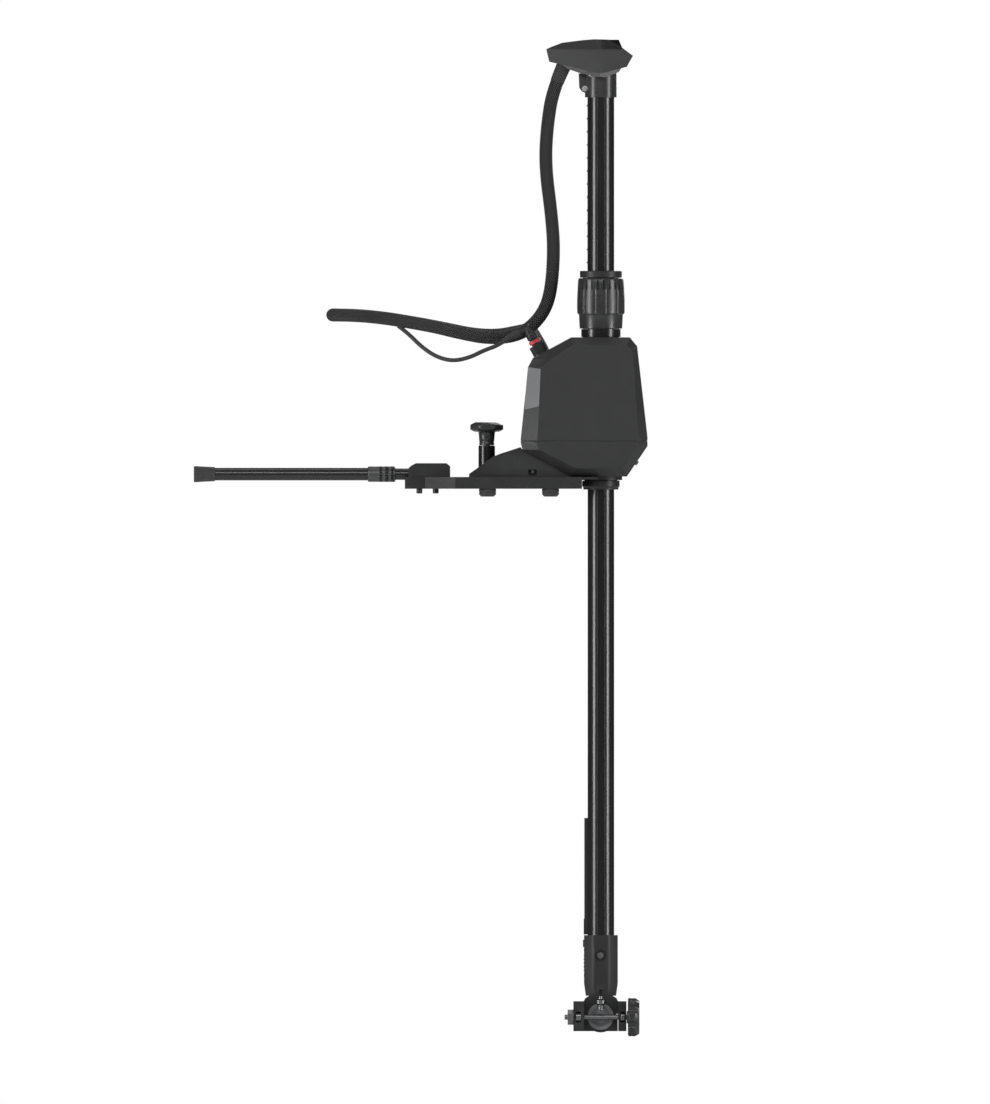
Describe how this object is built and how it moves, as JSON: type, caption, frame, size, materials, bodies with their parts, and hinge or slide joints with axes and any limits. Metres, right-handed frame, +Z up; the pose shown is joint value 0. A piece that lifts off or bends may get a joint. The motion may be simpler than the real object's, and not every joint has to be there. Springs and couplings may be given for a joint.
{
  "type": "transducer pole mount",
  "caption": "Motorised steerable pole mount for a bow deck, with a pointer head, depth collar, drive housing, release knob, telescoping arm and transducer clamp.",
  "frame": {"origin": "centre of the four deck bolts, on the deck under the rubber feet", "axes": "+Z up along the pole, +X outboard from the deck towards the pole, +Y to starboard"},
  "size_m": [0.5762, 0.2999, 1.2663],
  "materials": {
    "moulded": "satin dark grey moulding",
    "cover": "fine textured dark grey moulding",
    "anodised": "black anodised aluminium",
    "steel": "stainless",
    "dark_steel": "blackened stainless",
    "rubber": "matt",
    "loom": "braided sleeve",
    "lead": "matt jacket",
    "ring_red": "gloss red",
    "bronze": "sintered",
    "board": "printed board",
    "casting": "cast",
    "nylon": "nylon"
  },
  "bodies": {
    "base": {"base_plate": "moulded", "mount_feet": "rubber", "arm_block": "moulded", "arm_studs": "dark_steel", "arm_inner_tube": "anodised", "mount_bracket": "moulded", "bracket_screws": "steel", "lock_bush": "bronze", "plunger_barrel": "anodised", "upper_cover": "cover", "lower_cover": "cover", "cover_gasket": "rubber", "cover_screws": "dark_steel", "chassis": "casting", "upper_bush": "bronze", "lower_bush": "bronze", "shaft_seals": "rubber", "motor_gearbox": "steel", "drive_motor": "dark_steel", "control_board": "board", "power_socket": "moulded", "elbow_plug": "moulded", "plug_ring": "ring_red", "power_lead": "lead", "loom_lower": "loom", "loom_coil": "loom", "loom_strap": "loom", "loom_connector": "moulded", "release_spring": "steel"},
    "arm_outer": {"arm_outer_tube": "anodised", "arm_foot": "rubber"},
    "arm_lock": {"arm_lock_collar": "moulded"},
    "release": {"release_knob": "moulded", "release_pin": "steel"},
    "pinion": {"drive_pinion": "steel"},
    "steering": {"steering_tube": "anodised", "steering_gear": "nylon", "pole_collet": "nylon", "collet_cap": "moulded", "lower_ring": "moulded"},
    "collar": {"depth_collar": "moulded"},
    "pole": {"pole": "anodised", "depth_strip": "moulded", "cable_cover": "moulded", "head_cover": "cover", "head_cap": "moulded", "head_base": "moulded", "head_screw": "steel", "head_board": "board", "loom_gland": "moulded", "loom_upper": "loom", "pole_socket": "moulded", "socket_screws": "steel", "cable_grommet": "rubber", "clamp_yoke": "moulded", "yoke_screw": "steel", "cross_bolt": "steel"},
    "jaw": {"clamp_jaw": "moulded"},
    "knob": {"star_knob": "moulded"},
    "tilt": {"tilt_hub": "moulded"}
  },
  "joints": [
    {"name": "arm_extend", "type": "slide", "parent": "base", "child": "arm_outer", "axis": [-1, 0, 0], "range_m": [-0.0114, 0.15]},
    {"name": "arm_lock_twist", "type": "hinge", "parent": "arm_outer", "child": "arm_lock", "pos_m": [-0.1745, 0, 0.0286], "axis": [1, 0, 0], "range_deg": [0, 90]},
    {"name": "release_knob_pull", "type": "slide", "parent": "base", "child": "release", "axis": [0, 0, 1], "range_m": [0, 0.012], "stiffness_N_per_m": 900, "springref_m": -0.008, "deforming": ["release_spring"]},
    {"name": "pole_steer", "type": "hinge", "parent": "base", "child": "steering", "pos_m": [0.104, 0, 0.1], "axis": [0, 0, 1], "range_deg": [-180, 180], "deforming": ["loom_lower"]},
    {"name": "pinion_spin", "type": "hinge", "parent": "base", "child": "pinion", "pos_m": [0.054, 0, 0.09], "axis": [0, 0, 1], "range_deg": [-542, 542]},
    {"name": "collar_twist", "type": "hinge", "parent": "steering", "child": "collar", "pos_m": [0.104, 0, 0.245], "axis": [0, 0, 1], "range_deg": [0, 60]},
    {"name": "pole_depth", "type": "slide", "parent": "steering", "child": "pole", "axis": [0, 0, 1], "range_m": [-0.218, 0.41], "deforming": ["loom_upper"]},
    {"name": "clamp_jaw_open", "type": "slide", "parent": "pole", "child": "jaw", "axis": [1, 0, 0], "range_m": [0, 0.0051]},
    {"name": "clamp_knob_turn", "type": "hinge", "parent": "jaw", "child": "knob", "pos_m": [0.145, -0.0275, -0.661], "axis": [1, 0, 0], "range_deg": [0, 1440]},
    {"name": "transducer_tilt", "type": "hinge", "parent": "pole", "child": "tilt", "pos_m": [0.1036, 0, -0.6604], "axis": [0, 1, 0], "range_deg": [-90, 90]}
  ],
  "couplings": [
    {"joint": "pinion_spin", "follows": "pole_steer", "ratio": -3},
    {"joint": "clamp_jaw_open", "follows": "clamp_knob_turn", "m_per_rad": 0.00019894}
  ]
}
